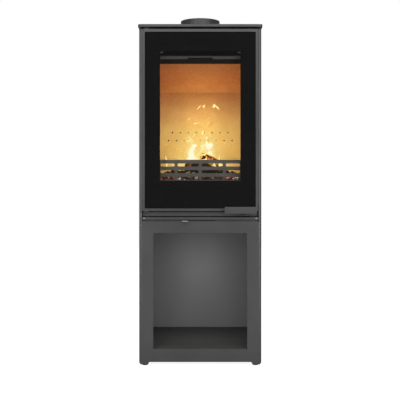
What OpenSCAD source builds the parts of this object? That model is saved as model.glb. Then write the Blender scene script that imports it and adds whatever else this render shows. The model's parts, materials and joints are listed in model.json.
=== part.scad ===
// Tall wood burning stove on an open log-store base.
// X runs to the right, Y to the back and Z up; the origin is on the floor, under the centre of the box.
// Every sub-part is drawn with y = 0 at the front face of the door, and place() moves it into the frame.

/* [Casing] */
// Width over the side panels
body_w = 441; // [430:1:450]
// Depth from the front face of the door to the back of the casing
body_d = 395; // [395:1:420]
// Height of the upper face of the top plate
top_z = 1230; // [1230:1:1260]
// Thickness of the casing sheet
sheet = 2; // [1.5:0.1:2]
// Width of the folded front edge of each side panel
edge_w = 10.5; // [9.5:0.5:11.5]
// Thickness of the top plate
top_plate_t = 9; // [6:1:10]
// How far the top plate stands out at the sides and the front
top_overhang = 4; // [2:1:8]

/* [Door] */
// Height of the lower edge of the door
door_z0 = 557.5; // [557:0.5:558]
// Height of the upper edge of the door
door_z1 = 1213.5; // [1213:0.5:1214]
// Gap between the door and each side panel
door_gap = 1.2; // [1.2:0.1:1.5]
// Depth of the door frame's walls
door_depth = 26; // [24:1:26]
// Thickness of the ceramic glass
glass_t = 4; // [3:0.5:4]
// Half width of the clear window in the glass
window_half = 145; // [130:1:150]
// Height of the lower edge of the clear window
window_z0 = 666.5; // [655:0.5:675]
// Height of the upper edge of the clear window
window_z1 = 1135; // [1120:1:1140]

/* [Handle and air control] */
// How far the front of the handle stands out from the door
handle_reach = 26; // [26:1:32]
// Length of the handle plate
handle_len = 114.5; // [100:0.5:114.5]
// Height of the handle plate
handle_h = 24; // [24:1:26]
// Distance of the air lever from the centre line, to the left
lever_offset = 54; // [50:1:60]

/* [Firebox] */
// Outer radius of the flue spigot
flue_r = 75; // [60:0.5:75]
// Wall thickness of the flue spigot
flue_wall = 5; // [3:0.5:6]
// Height of the flue spigot above its flange
flue_len = 42; // [40:1:60]
// Distance of the flue centre behind the front of the door
flue_d = 200; // [190:1:205]
// Half width of the fire chamber between its side bricks
chamber_half = 162; // [158:1:165]
// Distance of the back brick's face behind the front of the door
back_face_d = 320; // [315:1:322]
// Height of the hearth
hearth_z = 650; // [648:1:652]
// Spacing of the air holes in the back brick
hole_pitch = 32; // [28:1:36]

/* [Log store base] */
// Height of the base box
base_z = 521; // [521:0.5:522]
// Half width of the log opening
log_half = 169; // [150:1:175]
// Height of the lower edge of the log opening
log_z0 = 60; // [60:1:70]
// Height of the upper edge of the log opening
log_z1 = 478; // [440:1:480]

/* [Hidden] */

$fn = 64;
play = 0.06;             // radial running clearance of a pin in its bore
front_y = (handle_reach - body_d) / 2;
hx = body_w / 2;         // half width over the side panels
edge_x = hx - edge_w;    // inner edge of the side panels' front fold
bend_r = 9;              // outer radius of the bend at that fold
bend_x = hx - bend_r;    // where the bend starts
top_corner_r = 12;
inner_x = hx - sheet;    // inner face of the side panels
casing_z1 = door_z1;     // upper edge of the side and rear panels
side_z0 = base_z + 1;    // lower edge of the upper side panels
rear_d = body_d - sheet; // inner face of the rear panel

// Stove bottom
bottom_z0 = 532;
bottom_z1 = 535;
trim_z0 = 526.8;
apron_z0 = 538;
apron_z1 = 553.7;
apron_d = 14;
strip_d = 7;             // recess of the strip that hides the gap above the base

// Door
door_x = edge_x - door_gap;
skin = 1.5;
frame_wall = 2;
glass_x = door_x - frame_wall - 1.3;
lip_x = 200;
lip_z0 = door_z0 + 9;
lip_z1 = door_z1 - 10.5;
glass_z0 = lip_z0 - 2.7;
glass_z1 = lip_z1 + 2.7;
glass_d = skin + 0.5;
border_t = 0.3;
border_d = glass_d + glass_t;
retainer_d = border_d + border_t + 0.5;
retainer_t = 2;
rope_r = 4.3;
rope_d = 27.4;
rope_x = 170;
rope_z0 = door_z0 + 8.5;
rope_z1 = 1162;
clamp_z = [620, 880, 1150];

// Hinge axis
pivot_x = -door_x + 15;
pivot_d = 7.2;
hinge_pin_r = 3;

// Handle
handle_t = 4;
handle_x1 = 202.5;
handle_x0 = handle_x1 - handle_len;
handle_z0 = 549.5;
grip_x = 153.5;
grip_d = -9;
grip_pin_r = 3;

// Firebox
wall = 4;
fb_x = 187;              // inner half width of the steel firebox
fb_d0 = 36;
fb_d1 = 356;
fb_top_z = 1200;
fb_floor_z = 572;
front_d = fb_d0 - wall;
opening_x = 158;
opening_z1 = 1150;
shelf_z = 622;
brick_gap = 0.5;
back_brick_t = 25;
brick_joint_z = 753;
baffle_d0 = 100;
baffle_z0 = 1102;
baffle_drop = 86 / 220;  // fall of the lower baffle per unit of depth
baffle_t = 27;
grate_x = 99.5;
grate_d = 190;
grate_half_d = 79.5;
bed_z = 695;             // upper side of the ember bed

// Log guard
guard_d = 50;
guard_t = 6;
guard_x = 156;
guard_bar = 13.5;
guard_slot = 11;
guard_pitch = 88.5;
guard_post = 10.3;
guard_top = 742.8;

// Air control
window_x = 75;
window_w = 46;
window_d0 = 80;
window_d1 = 180;
slide_z0 = 528.6;
slide_z1 = 531.6;
slide_d0 = 50;
slide_d1 = 200;
lever_z = 521.4;
lever_t = 1.6;
lever_travel = 100;

// Base
foot_x = 200;
foot_d = [20, body_d - 20];
foot_r = 12;
foot_disc = 4.7;
stud_r = 4;
socket_z0 = 5;
base_edge_z = 13.7;
back_panel_d = body_d - 5;
bolt_x = 195;
bolt_d = [25, body_d - 25];
bolt_r = 3.9;

steel = "#55565a";
dark_steel = "#2b2b2d";
vermiculite = "#c9a06a";
iron = "#3a3a3c";
zinc = "#b8babd";
black = "#151515";
rope = "#8a8781";
charred = "#3d2a1d";
ember = "#b4501e";

// ---- helpers ----

module place() translate([0, front_y, 0]) children();

module slab(x0, x1, d0, d1, z0, z1)
    translate([x0, d0, z0]) cube([x1 - x0, d1 - d0, z1 - z0]);

module wide(half, d0, d1, z0, z1) slab(-half, half, d0, d1, z0, z1);

module both() {
    children();
    mirror([1, 0, 0]) children();
}

module post(x, d, z0, z1, r)
    translate([x, d, z0]) cylinder(h = z1 - z0, r = r);

module along_y(x, z, d0, d1, r)
    translate([x, d0, z]) rotate([-90, 0, 0]) cylinder(h = d1 - d0, r = r);

// Rectangular ring that stands in the XZ plane
module ring(outer, oz0, oz1, inner, iz0, iz1, d0, d1)
    difference() {
        wide(outer, d0, d1, oz0, oz1);
        wide(inner, d0 - 1, d1 + 1, iz0, iz1);
    }

// An outline of (depth, height) points, swept across from x0 to x1
module side_profile(points, x0, x1)
    translate([x0, 0, 0]) rotate([90, 0, 90]) linear_extrude(x1 - x0) polygon(points);

// An outline of (x, height) points, swept back from d0 to d1
module front_profile(points, d0, d1)
    translate([0, d1, 0]) rotate([90, 0, 0]) linear_extrude(d1 - d0) polygon(points);

module rounded_plate(half, d0, d1, r, z0, z1)
    translate([0, 0, z0]) linear_extrude(z1 - z0) union() {
        translate([-half + r, d0]) square([2 * (half - r), d1 - d0]);
        translate([-half, d0 + r]) square([2 * half, d1 - d0 - 2 * r]);
        for (x = [-half + r, half - r], d = [d0 + r, d1 - r]) translate([x, d]) circle(r);
    }

// Horizontal slot with round ends, cut through a plate that stands in the XZ plane
module long_slot(x0, x1, z, h, d0, d1) {
    slab(x0 + h / 2, x1 - h / 2, d0, d1, z - h / 2, z + h / 2);
    for (x = [x0 + h / 2, x1 - h / 2]) along_y(x, z, d0, d1, h / 2);
}

function baffle_under(d) = baffle_z0 - (d - baffle_d0) * baffle_drop;

// ---- casing ----

collar_z = top_z;
flange_t = 6;
flange_r = flue_r + 20;
neck_r = flue_r - 2;
flue_bore = flue_r - flue_wall;
collar_bolt_r = flue_r + 10;

module top_plate() color(steel) place() difference() {
    rounded_plate(hx + top_overhang, -top_overhang, body_d, top_corner_r, top_z - top_plate_t, top_z);
    post(0, flue_d, top_z - top_plate_t - 1, top_z + 1, neck_r + 0.5);
    collar_bolts() cylinder(h = 100, r = 3.3, center = true);
}

module collar_bolts()
    for (a = [45 : 90 : 315])
        translate([0, flue_d, top_z]) rotate(a) translate([collar_bolt_r, 0, 0]) children();

module top_plate_spacers() color(dark_steel) place()
    for (x = [-150, 150], d = [70, 330]) post(x, d, fb_top_z, top_z - top_plate_t, 9);

module flue_collar() color(steel) place() difference() {
    union() {
        post(0, flue_d, fb_top_z - wall, collar_z, neck_r);
        post(0, flue_d, collar_z, collar_z + flange_t, flange_r);
        post(0, flue_d, collar_z + flange_t, collar_z + flange_t + flue_len, flue_r);
    }
    post(0, flue_d, fb_top_z - wall - 1, collar_z + 100, flue_bore);
    collar_bolts() cylinder(h = 100, r = 3.3, center = true);
}

module flue_collar_bolts() color(zinc) place() collar_bolts() {
    translate([0, 0, -15]) cylinder(h = 15 + flange_t, r = 3);
    translate([0, 0, flange_t]) cylinder(h = 4, r = 5.5, $fn = 6);
}

// Side sheet whose front edge is bent inwards as far as fold_x
module folded_side(fold_x, z0, z1, d1) {
    slab(inner_x, hx, bend_r, d1, z0, z1);
    slab(fold_x, bend_x, 0, sheet, z0, z1);
    difference() {
        intersection() {
            post(bend_x, bend_r, z0, z1, bend_r);
            slab(bend_x, hx, 0, bend_r, z0, z1);
        }
        post(bend_x, bend_r, z0 - 1, z1 + 1, bend_r - sheet);
    }
}

module side_panel() {
    folded_side(edge_x, side_z0, casing_z1, rear_d);
    slab(inner_x - 16, inner_x, rear_d - sheet, rear_d, bottom_z1 + 0.5, casing_z1);
}

module side_panel_left() color(steel) place() mirror([1, 0, 0]) side_panel();
module side_panel_right() color(steel) place() side_panel();

// Full-width plate whose front corners are notched for the bends of the side sheets
module notched_plate(d0, d1, z0, z1) {
    wide(inner_x - 0.5, bend_r, d1, z0, z1);
    wide(bend_x, d0, bend_r, z0, z1);
}

module louvres(z0)
    for (row = [0 : 4], x = [-100, 0, 100])
        long_slot(x - 42, x + 42, z0 + row * 16, 6, rear_d - 1, body_d + 1);

module rear_panel() color(steel) place() difference() {
    wide(hx, rear_d, body_d, bottom_z0, casing_z1);
    louvres(580);
    louvres(1110);
}

module lower_apron() color(steel) place() difference() {
    union() {
        wide(edge_x - 0.4, apron_d, apron_d + sheet, apron_z0, apron_z1);
        wide(edge_x - 0.4, apron_d + sheet, front_d, apron_z0, apron_z0 + sheet);
    }
    for (x = [-bolt_x, bolt_x]) post(x, bolt_d[0], apron_z0 - 1, apron_z0 + sheet + 1, 8);
}

module bottom_plate() color(steel) place() difference() {
    union() {
        notched_plate(3, back_panel_d, bottom_z0, bottom_z1);
        wide(edge_x - 1.2, 0, 3, trim_z0, bottom_z1);
        wide(edge_x - 1.2, strip_d, strip_d + sheet, base_z + 0.5, bottom_z0);
    }
    slab(-lever_offset - 11, -lever_offset + 11 + lever_travel, 0, strip_d + 3, base_z, lever_z + lever_t + 0.5);
    air_windows(bottom_z0 - 1, bottom_z1 + 1);
    for (x = [-bolt_x, bolt_x], d = bolt_d) post(x, d, bottom_z0 - 1, bottom_z1 + 1, bolt_r + 0.3);
}

module air_windows(z0, z1)
    both() slab(window_x - window_w / 2, window_x + window_w / 2, window_d0, window_d1, z0, z1);

module trim_screws() color(zinc) place()
    for (x = [-202, 202]) {
        along_y(x, 531.5, -1.2, 0, 3.3);
        along_y(x, 531.5, -1.8, -1.2, 2.4);
    }

// ---- firebox ----

module firebox_front() color(dark_steel) place()
    ring(inner_x - 0.5, apron_z0 + 1, casing_z1 - 1, opening_x, fb_floor_z, opening_z1, front_d, fb_d0);

module firebox_side_walls() color(dark_steel) place()
    both() slab(fb_x, fb_x + wall, fb_d0, fb_d1, 560, fb_top_z);

module firebox_back_wall() color(dark_steel) place()
    wide(fb_x + wall, fb_d1, fb_d1 + wall, 560, fb_top_z);

module firebox_top() color(dark_steel) place() difference() {
    wide(fb_x, fb_d0, fb_d1, fb_top_z - wall, fb_top_z);
    post(0, flue_d, fb_top_z - wall - 1, fb_top_z + 1, neck_r + 0.3);
}

module firebox_floor() color(dark_steel) place() difference() {
    wide(fb_x, fb_d0, fb_d1, fb_floor_z - wall, fb_floor_z);
    for (x = [-120 : 40 : 120]) post(x, 322, fb_floor_z - wall - 1, fb_floor_z + 1, 8);
    wide(130, 347, 353, fb_floor_z - wall - 1, fb_floor_z + 1);
}

module hearth_shelf() color(dark_steel) place() difference() {
    wide(fb_x, fb_d0, 345, shelf_z - wall, shelf_z);
    half_d = grate_half_d - 10;
    wide(grate_x - 10, grate_d - half_d, grate_d + half_d, shelf_z - wall - 1, shelf_z + 1);
}

module hearth_bricks() color(vermiculite) place() {
    g = brick_gap;
    bx = chamber_half - g;
    d0 = grate_d - grate_half_d - g;
    d1 = grate_d + grate_half_d + g;
    wide(bx, fb_d0 + 1, d0, shelf_z, hearth_z);
    wide(bx, d1, back_face_d - g, shelf_z, hearth_z);
    both() slab(grate_x + g, bx, d0 + g, d1 - g, shelf_z, hearth_z);
}

module back_brick_lower() color(vermiculite) place()
    wide(fb_x - brick_gap, back_face_d, back_face_d + back_brick_t, shelf_z + 0.5, brick_joint_z);

module back_brick_upper() color(vermiculite) place() difference() {
    wide(fb_x - brick_gap, back_face_d, back_face_d + back_brick_t, brick_joint_z + 0.6, 1060);
    for (i = [0 : 7]) air_hole((i - 3.5) * hole_pitch, 856.5);
    for (i = [0 : 8]) air_hole((i - 4) * hole_pitch, 824.5);
}

module air_hole(x, z)
    along_y(x, z, back_face_d - 1, back_face_d + back_brick_t + 1, 3);

module side_brick() {
    d0 = fb_d0 + 1;
    d1 = back_face_d - brick_gap;
    side_profile([[d0, shelf_z + 0.5], [d1, shelf_z + 0.5], [d1, baffle_under(d1)],
        [baffle_d0, baffle_z0], [d0, baffle_z0]], chamber_half, fb_x - brick_gap);
}

module side_bricks() color(vermiculite) place() both() side_brick();

module lower_baffle() color(vermiculite) place() {
    d1 = back_face_d - brick_gap;
    side_profile([[baffle_d0, baffle_z0], [d1, baffle_under(d1)],
        [d1, baffle_under(d1) + baffle_t], [baffle_d0, baffle_z0 + baffle_t]], -fb_x + 1, fb_x - 1);
}

module upper_baffle() color(dark_steel) place()
    side_profile([[fb_d0 + 1, 1158], [290, 1170], [290, 1173], [fb_d0 + 1, 1161]], -fb_x + 1, fb_x - 1);

module baffle_supports() color(dark_steel) place()
    both() side_profile([[70, 1156], [280, 1166], [280, 1169.4], [70, 1159.4]], fb_x - 12, fb_x);

// Strip behind the top of the glass that turns air down over it, with a notch in its middle
module airwash_deflector() color(iron) place() {
    front_profile([[-160, 1122], [-160, 1111], [-47, 1111], [-45, 1116.5],
        [45, 1116.5], [47, 1111], [160, 1111], [160, 1122]], 40, 42);
    wide(160, 42, 58, 1120, 1122);
    both() {
        slab(158, 160, 42, 58, 1122, 1145);
        slab(158, 182, fb_d0, 42, 1125, 1145);
        slab(137, 158, 38, 46, 1133.5, 1136.5);
    }
}

module rear_air_duct() color(dark_steel) place() {
    wide(150, fb_d1 - 2.5, fb_d1 - 0.5, fb_floor_z, 900);
    both() slab(148, 150, back_face_d + back_brick_t + 0.5, fb_d1 - 2.5, fb_floor_z, 900);
    wide(148, back_face_d + back_brick_t + 0.5, fb_d1 - 2.5, 898, 900);
}

// Iron tray turned upside down, with two rows of slots through its top
module fire_grate() color(iron) place() difference() {
    rim = 8;
    top_z = hearth_z - 3;
    under_z = top_z - 10;
    slot_pitch = 15.5;
    wide(grate_x, grate_d - grate_half_d, grate_d + grate_half_d, shelf_z, top_z);
    wide(grate_x - rim, grate_d - grate_half_d + rim, grate_d + grate_half_d - rim, shelf_z - 1, under_z);
    for (i = [-5 : 5], d = [grate_d - 37, grate_d + 37])
        slab(i * slot_pitch - 4, i * slot_pitch + 4, d - 30, d + 30, under_z - 1, top_z + 1);
}

module ash_pan() color(steel) place() {
    difference() {
        wide(110, 46, 300, fb_floor_z + 0.3, 612);
        wide(108.5, 47.5, 298.5, fb_floor_z + 1.8, 620);
    }
    wide(30, 38, 46, 603, 605);
}

module log_guard() color(iron) place() difference() {
    wide(guard_x, guard_d, guard_d + guard_t, hearth_z, guard_top);
    for (row = [0 : 2], col = [-2 : 1]) {
        x0 = max(col * guard_pitch, -guard_x + guard_post / 2) + guard_post / 2;
        x1 = min((col + 1) * guard_pitch, guard_x - guard_post / 2) - guard_post / 2;
        z = guard_top - guard_bar - guard_slot / 2 - row * (guard_bar + guard_slot);
        rounded_slot(x0, x1, z - guard_slot / 2, z + guard_slot / 2, 5);
    }
}

// Opening with rounded corners through the log guard
module rounded_slot(x0, x1, z0, z1, r) {
    d0 = guard_d - 1;
    d1 = guard_d + guard_t + 1;
    slab(x0 + r, x1 - r, d0, d1, z0, z1);
    slab(x0, x1, d0, d1, z0 + r, z1 - r);
    for (x = [x0 + r, x1 - r], z = [z0 + r, z1 - r]) along_y(x, z, d0, d1, r);
}

module air_box() color(dark_steel) place() difference() {
    slab(-160, 160, 60, 355, bottom_z1, fb_floor_z - wall);
    slab(-158, 158, 62, 353, bottom_z1 - 1, fb_floor_z);
}

module firewood_logs() color(charred) place() {
    split_log([-58, 100, bed_z + 17], 4, 96, 16.5);
    split_log([-50, 166, bed_z + 19.5], -3, 140, 19);
    split_log([26, 92, bed_z + 55.6], 74, 150, 18.5);
}

// A split log: a level seven-sided bar that starts at p and is turned about the upright
module split_log(p, turn, length, r)
    translate(p) rotate(turn) rotate([0, 90, 0]) linear_extrude(length)
        polygon([for (i = [0 : 6]) r * [cos(i * 360 / 7), sin(i * 360 / 7)]]);

module ember_bed() color(ember) place()
    front_profile([[-154, hearth_z + 0.3], [154, hearth_z + 0.3], [150, bed_z - 12],
        [104, bed_z], [-104, bed_z], [-150, bed_z - 12]], 62, 300);

// ---- hinges and latch on the stove ----

module hinge_brackets() color(dark_steel) place() difference() {
    union() {
        slab(pivot_x - 9, pivot_x + 9, 1.5, front_d, 554, 557);
        slab(pivot_x - 9, pivot_x + 9, 1.5, fb_d0 + 4, 1215, 1218);
        slab(pivot_x - 9, pivot_x + 2, fb_d0, fb_d0 + 4, 1203, 1215);
    }
    post(pivot_x, pivot_d, 550, 1220, hinge_pin_r + play);
}

module hinge_pins() color(zinc) place() {
    post(pivot_x, pivot_d, 554, 562.8, hinge_pin_r);
    post(pivot_x, pivot_d, 1207, 1218, hinge_pin_r);
}

module latch_keeper() color(zinc) place()
    slab(165, 175, 19, front_d, 546, 557);

// ---- air control ----

module air_slide_guides() color(dark_steel) place() {
    slab(-212, 212, slide_d0 - 6, slide_d0 - 0.4, 526, bottom_z0);
    slab(-212, 212, slide_d0 - 0.4, slide_d0 + 6, 526, 528.2);
    slab(-212, 212, slide_d1 + 0.4, slide_d1 + 6, 526, bottom_z0);
    slab(-212, 212, slide_d1 - 6, slide_d1 + 0.4, 526, 528.2);
}

// Damper plate with two windows, and under it the flat lever with the strip that covers its slot
module air_slide() color(zinc) place() {
    difference() {
        slab(-200, 110, slide_d0, slide_d1, slide_z0, slide_z1);
        air_windows(slide_z0 - 1, slide_z1 + 1);
    }
    translate([-lever_offset, 0, 0]) {
        wide(10, -18, slide_d0 + 16, lever_z, lever_z + lever_t);
        wide(10, -18, -16, lever_z - 1.8, lever_z);
        wide(lever_travel + 12, strip_d + 3, strip_d + 4.5, lever_z, lever_z + lever_t);
        wide(10, slide_d0 + 8, slide_d0 + 16, lever_z + lever_t, slide_z0);
    }
}

// ---- base ----

module base_top_panel() color(steel) place() difference() {
    notched_plate(sheet, back_panel_d, base_z - 2.5, base_z);
    for (x = [-bolt_x, bolt_x], d = bolt_d) post(x, d, base_z - 5, base_z + 1, bolt_r + 0.3);
}

module base_front_panel() color(steel) place() {
    half = edge_x;
    difference() {
        wide(half, 0, sheet, base_edge_z, base_z);
        rounded_opening(log_half, log_z0, log_z1, 3);
    }
    both() front_profile([[half, base_edge_z], [half, socket_z0], [half - 20, socket_z0],
        [half - 27, base_edge_z]], 0, sheet);
}

// Opening with rounded corners through the base's front panel
module rounded_opening(half, z0, z1, r) {
    wide(half - r, -1, sheet + 1, z0, z1);
    wide(half, -1, sheet + 1, z0 + r, z1 - r);
    for (x = [-half + r, half - r], z = [z0 + r, z1 - r]) along_y(x, z, -1, sheet + 1, r);
}

module base_side() {
    foot_len = 30;
    slant = 8;
    cut_z = socket_z0 + 4;
    difference() {
        folded_side(edge_x, socket_z0, base_z, body_d);
        side_profile([[foot_len, 0], [foot_len, cut_z], [foot_len + slant, base_edge_z],
            [body_d - foot_len - slant, base_edge_z], [body_d - foot_len, cut_z],
            [body_d - foot_len, 0]], inner_x - 1, hx + 1);
        front_profile([[edge_x + 4, 0], [edge_x + 4, socket_z0], [hx + 1, socket_z0 + 7],
            [hx + 1, 0]], -1, body_d + 1);
    }
    slab(inner_x - 18, inner_x, rear_d, body_d, base_edge_z, base_z);
}

module base_side_left() color(steel) place() mirror([1, 0, 0]) base_side();
module base_side_right() color(steel) place() base_side();

module base_back_panel() color(steel) place()
    wide(inner_x - 0.5, back_panel_d, back_panel_d + sheet, base_edge_z, base_z);

module base_floor() color(steel) place() difference() {
    notched_plate(sheet + 0.3, back_panel_d - 0.3, log_z0 - 2.5, log_z0);
    for (x = [-126, 126]) post(x, 316, log_z0 - 5, log_z0 + 1, 2.6);
}

module base_spacers() color(dark_steel) place()
    for (x = [-bolt_x, bolt_x], d = bolt_d) difference() {
        post(x, d, base_z, bottom_z0, 9);
        post(x, d, base_z - 1, bottom_z0 + 1, bolt_r + 0.3);
    }

// Bolts between stove and base, and the two small screws in the log store's floor
module base_bolts() color(zinc) place() {
    for (x = [-bolt_x, bolt_x], d = bolt_d) {
        post(x, d, base_z - 9, bottom_z1 + 1, bolt_r);
        translate([x, d, bottom_z1]) cylinder(h = 4.5, r = 7, $fn = 6);
        translate([x, d, base_z - 9]) cylinder(h = 6.5, r = 7, $fn = 6);
    }
    for (x = [-126, 126]) {
        post(x, 316, log_z0 - 8, log_z0, 2.5);
        post(x, 316, log_z0, log_z0 + 1.5, 4.5);
    }
}

module foot_sockets() color(dark_steel) place()
    for (x = [-foot_x, foot_x], d = foot_d) difference() {
        post(x, d, socket_z0, log_z0 - 2.5, 10);
        post(x, d, socket_z0 - 1, log_z0 - 6, stud_r + play);
    }

module levelling_foot(x, d) color(black) place() {
    translate([x, d, 0]) cylinder(h = 1.7, r1 = foot_r - 2, r2 = foot_r);
    post(x, d, 1.7, foot_disc, foot_r);
    post(x, d, foot_disc, 40, stud_r);
}

module levelling_foot_front_left() levelling_foot(-foot_x, foot_d[0]);
module levelling_foot_front_right() levelling_foot(foot_x, foot_d[0]);
module levelling_foot_rear_left() levelling_foot(-foot_x, foot_d[1]);
module levelling_foot_rear_right() levelling_foot(foot_x, foot_d[1]);

// ---- door ----

module door_frame() color(steel) place() difference() {
    union() {
        ring(door_x, door_z0, door_z1, lip_x, lip_z0, lip_z1, 0, skin);
        ring(door_x, door_z0, door_z1, door_x - frame_wall, door_z0 + frame_wall,
            door_z1 - frame_wall, skin, door_depth);
    }
    post(pivot_x, pivot_d, door_z0 - 1, door_z0 + 4, hinge_pin_r + play);
    post(pivot_x, pivot_d, door_z1 - 4, door_z1 + 1, hinge_pin_r + play);
}

module door_glass() color("#8fa3a8", 0.3) place()
    wide(glass_x, glass_d, border_d, glass_z0, glass_z1);

// Black enamel on the back of the glass, with the clear window left out
module glass_border() color(black) place()
    ring(glass_x, glass_z0, glass_z1, window_half, window_z0, window_z1, border_d, border_d + border_t);

module glass_gasket() color(rope) place() {
    ring(glass_x, glass_z0, glass_z1, glass_x - 5, glass_z0 + 2.4, glass_z1 - 2.4, skin, glass_d);
    ring(glass_x, glass_z0 + 3, glass_z1 - 5, glass_x - 10, glass_z0 + 13, glass_z1 - 15,
        border_d + border_t, retainer_d);
}

module door_inner_frame() color(dark_steel) place() {
    d1 = retainer_d + retainer_t;
    ring(glass_x, lip_z0, lip_z1 - 2, window_half + 4, window_z0 - 5, window_z1 + 6, retainer_d, d1);
    wide(rope_x + 6, retainer_d, d1, rope_z0 - 6, lip_z0);
    channel_ring(6, 4.5, d1, rope_d);
    channel_ring(-4.5, -6, d1, rope_d);
    channel_ring(4.5, -4.5, rope_d - rope_r - 2, rope_d - rope_r - 0.3);
}

// Rectangular ring about the rope's line, between two distances outside that line
module channel_ring(outer, inner, d0, d1)
    ring(rope_x + outer, rope_z0 - outer, rope_z1 + outer,
        rope_x + inner, rope_z0 - inner, rope_z1 + inner, d0, d1);

module door_rope_seal() color(rope) place() {
    r = 5;
    both() post(rope_x, rope_d, rope_z0 + r, rope_z1 - r, rope_r);
    for (z = [rope_z0, rope_z1])
        translate([-rope_x + r, rope_d, z]) rotate([0, 90, 0]) cylinder(h = 2 * (rope_x - r), r = rope_r);
    both() {
        translate([rope_x - r, rope_d, rope_z1 - r]) rope_corner(r, 0);
        translate([rope_x - r, rope_d, rope_z0 + r]) rope_corner(r, -90);
    }
}

// Quarter bend of the rope in the XZ plane
module rope_corner(r, turn)
    rotate([90, 0, 0]) rotate(turn) rotate_extrude(angle = 90) translate([r, 0]) circle(rope_r);

module glass_clamps() color(zinc) place()
    both() for (z = clamp_z) {
        difference() {
            slab(196, door_x - frame_wall, 12, 14, z - 8, z + 8);
            along_y(200, z, 11, 15, 2.6);
        }
        along_y(200, z, retainer_d + retainer_t, 14, 2.4);
        along_y(200, z, 14, 17, 4.5);
    }

module hinge_bushes() color(zinc) place() difference() {
    union() {
        post(pivot_x, pivot_d, door_z0 + frame_wall, 563, 5.5);
        post(pivot_x, pivot_d, 1206.6, door_z1 - frame_wall, 5.5);
    }
    post(pivot_x, pivot_d, 500, 1300, hinge_pin_r + play);
}

// ---- handle ----

module handle_bracket() color(dark_steel) place() difference() {
    union() {
        slab(grip_x - 7, grip_x + 7, grip_d, 0, 558, 566);
        post(grip_x, grip_d, 558, 566, 7);
    }
    post(grip_x, grip_d, 550, 570, grip_pin_r + play);
}

module door_handle() color(steel) place() {
    handle_y = -handle_reach;
    slab(handle_x0, handle_x1, handle_y, handle_y + handle_t, handle_z0, handle_z0 + handle_h);
    difference() {
        for (z = [[550.8, 553.9], [566.4, 571]]) {
            slab(grip_x - 7, grip_x + 7, handle_y + handle_t, grip_d, z[0], z[1]);
            post(grip_x, grip_d, z[0], z[1], 7);
        }
        post(grip_x, grip_d, 540, 580, grip_pin_r + play);
    }
}

// Pivot pin with its round head under the handle, and the flat latch tongue that it carries
module latch_tongue() color(black) place() {
    post(grip_x, grip_d, 543.5, 550.6, 7.5);
    post(grip_x, grip_d, 550.6, 572.5, grip_pin_r);
    post(grip_x, grip_d, 554.1, 557.1, 7);
    slab(grip_x - 5, grip_x + 4, grip_d, 29, 554.1, 557.1);
    slab(grip_x + 4, grip_x + 10.4, 20, 29, 554.1, 557.1);
}

// ---- what is drawn ----

top_plate();
top_plate_spacers();
side_panel_left();
side_panel_right();
rear_panel();
lower_apron();
bottom_plate();
trim_screws();
flue_collar();
flue_collar_bolts();
firebox_front();
firebox_side_walls();
firebox_back_wall();
firebox_top();
firebox_floor();
hearth_shelf();
hearth_bricks();
back_brick_lower();
back_brick_upper();
side_bricks();
lower_baffle();
upper_baffle();
baffle_supports();
airwash_deflector();
rear_air_duct();
fire_grate();
ash_pan();
log_guard();
air_box();
air_slide_guides();
hinge_brackets();
hinge_pins();
latch_keeper();
firewood_logs();
ember_bed();
base_top_panel();
base_front_panel();
base_side_left();
base_side_right();
base_back_panel();
base_floor();
base_spacers();
base_bolts();
foot_sockets();
door_frame();
door_glass();
glass_border();
glass_gasket();
door_inner_frame();
door_rope_seal();
glass_clamps();
hinge_bushes();
handle_bracket();
door_handle();
latch_tongue();
air_slide();
levelling_foot_front_left();
levelling_foot_front_right();
levelling_foot_rear_left();
levelling_foot_rear_right();
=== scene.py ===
"""Looks of the slim wood burning stove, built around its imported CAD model."""
import json
import math
import random

import bmesh
import bpy
from mathutils import Euler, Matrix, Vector, noise


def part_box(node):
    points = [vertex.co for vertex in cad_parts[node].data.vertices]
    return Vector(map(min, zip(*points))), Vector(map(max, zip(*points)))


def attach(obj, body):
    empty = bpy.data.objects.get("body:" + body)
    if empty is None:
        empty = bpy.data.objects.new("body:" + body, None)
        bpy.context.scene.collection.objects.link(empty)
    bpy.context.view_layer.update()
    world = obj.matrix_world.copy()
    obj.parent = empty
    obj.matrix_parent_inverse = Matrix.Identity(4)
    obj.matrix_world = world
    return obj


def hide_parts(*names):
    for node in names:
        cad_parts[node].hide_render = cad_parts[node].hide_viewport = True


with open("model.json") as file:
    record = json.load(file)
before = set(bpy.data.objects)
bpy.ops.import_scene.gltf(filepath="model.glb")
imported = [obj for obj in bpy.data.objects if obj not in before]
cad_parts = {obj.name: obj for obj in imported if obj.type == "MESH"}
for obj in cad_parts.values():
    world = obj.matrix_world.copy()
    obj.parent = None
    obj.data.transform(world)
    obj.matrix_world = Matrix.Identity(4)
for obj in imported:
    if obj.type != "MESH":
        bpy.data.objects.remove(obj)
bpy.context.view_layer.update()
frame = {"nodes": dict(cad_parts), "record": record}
nodes = frame["nodes"]

BODY_OF = {
    node: body
    for body, members in frame["record"]["behaviour"]["bodies"].items()
    for node in members
}
SLOT_OF = {part["node"]: part["material_slot"] for part in frame["record"]["subparts"]}


# ---- places taken from the frame ----

DOOR_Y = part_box("door_frame")[0].y
CHAMBER_BACK_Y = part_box("back_brick_upper")[0].y
BED_LOW, BED_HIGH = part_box("ember_bed")
FIRE = Vector((0, (BED_LOW.y + BED_HIGH.y) / 2, BED_HIGH.z))
BAFFLE_FRONT_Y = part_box("lower_baffle")[0].y
BAFFLE_LOW_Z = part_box("side_bricks")[1].z
GUARD_BACK_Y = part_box("log_guard")[1].y
WASH_LUG_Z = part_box("airwash_deflector")[1].z - 0.012  # just under the strip's two lugs, above which the iron gets painted light
MM = 1000  # millimetres in a metre; the flames are set out in millimetres


# ---- node helpers ----

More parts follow.
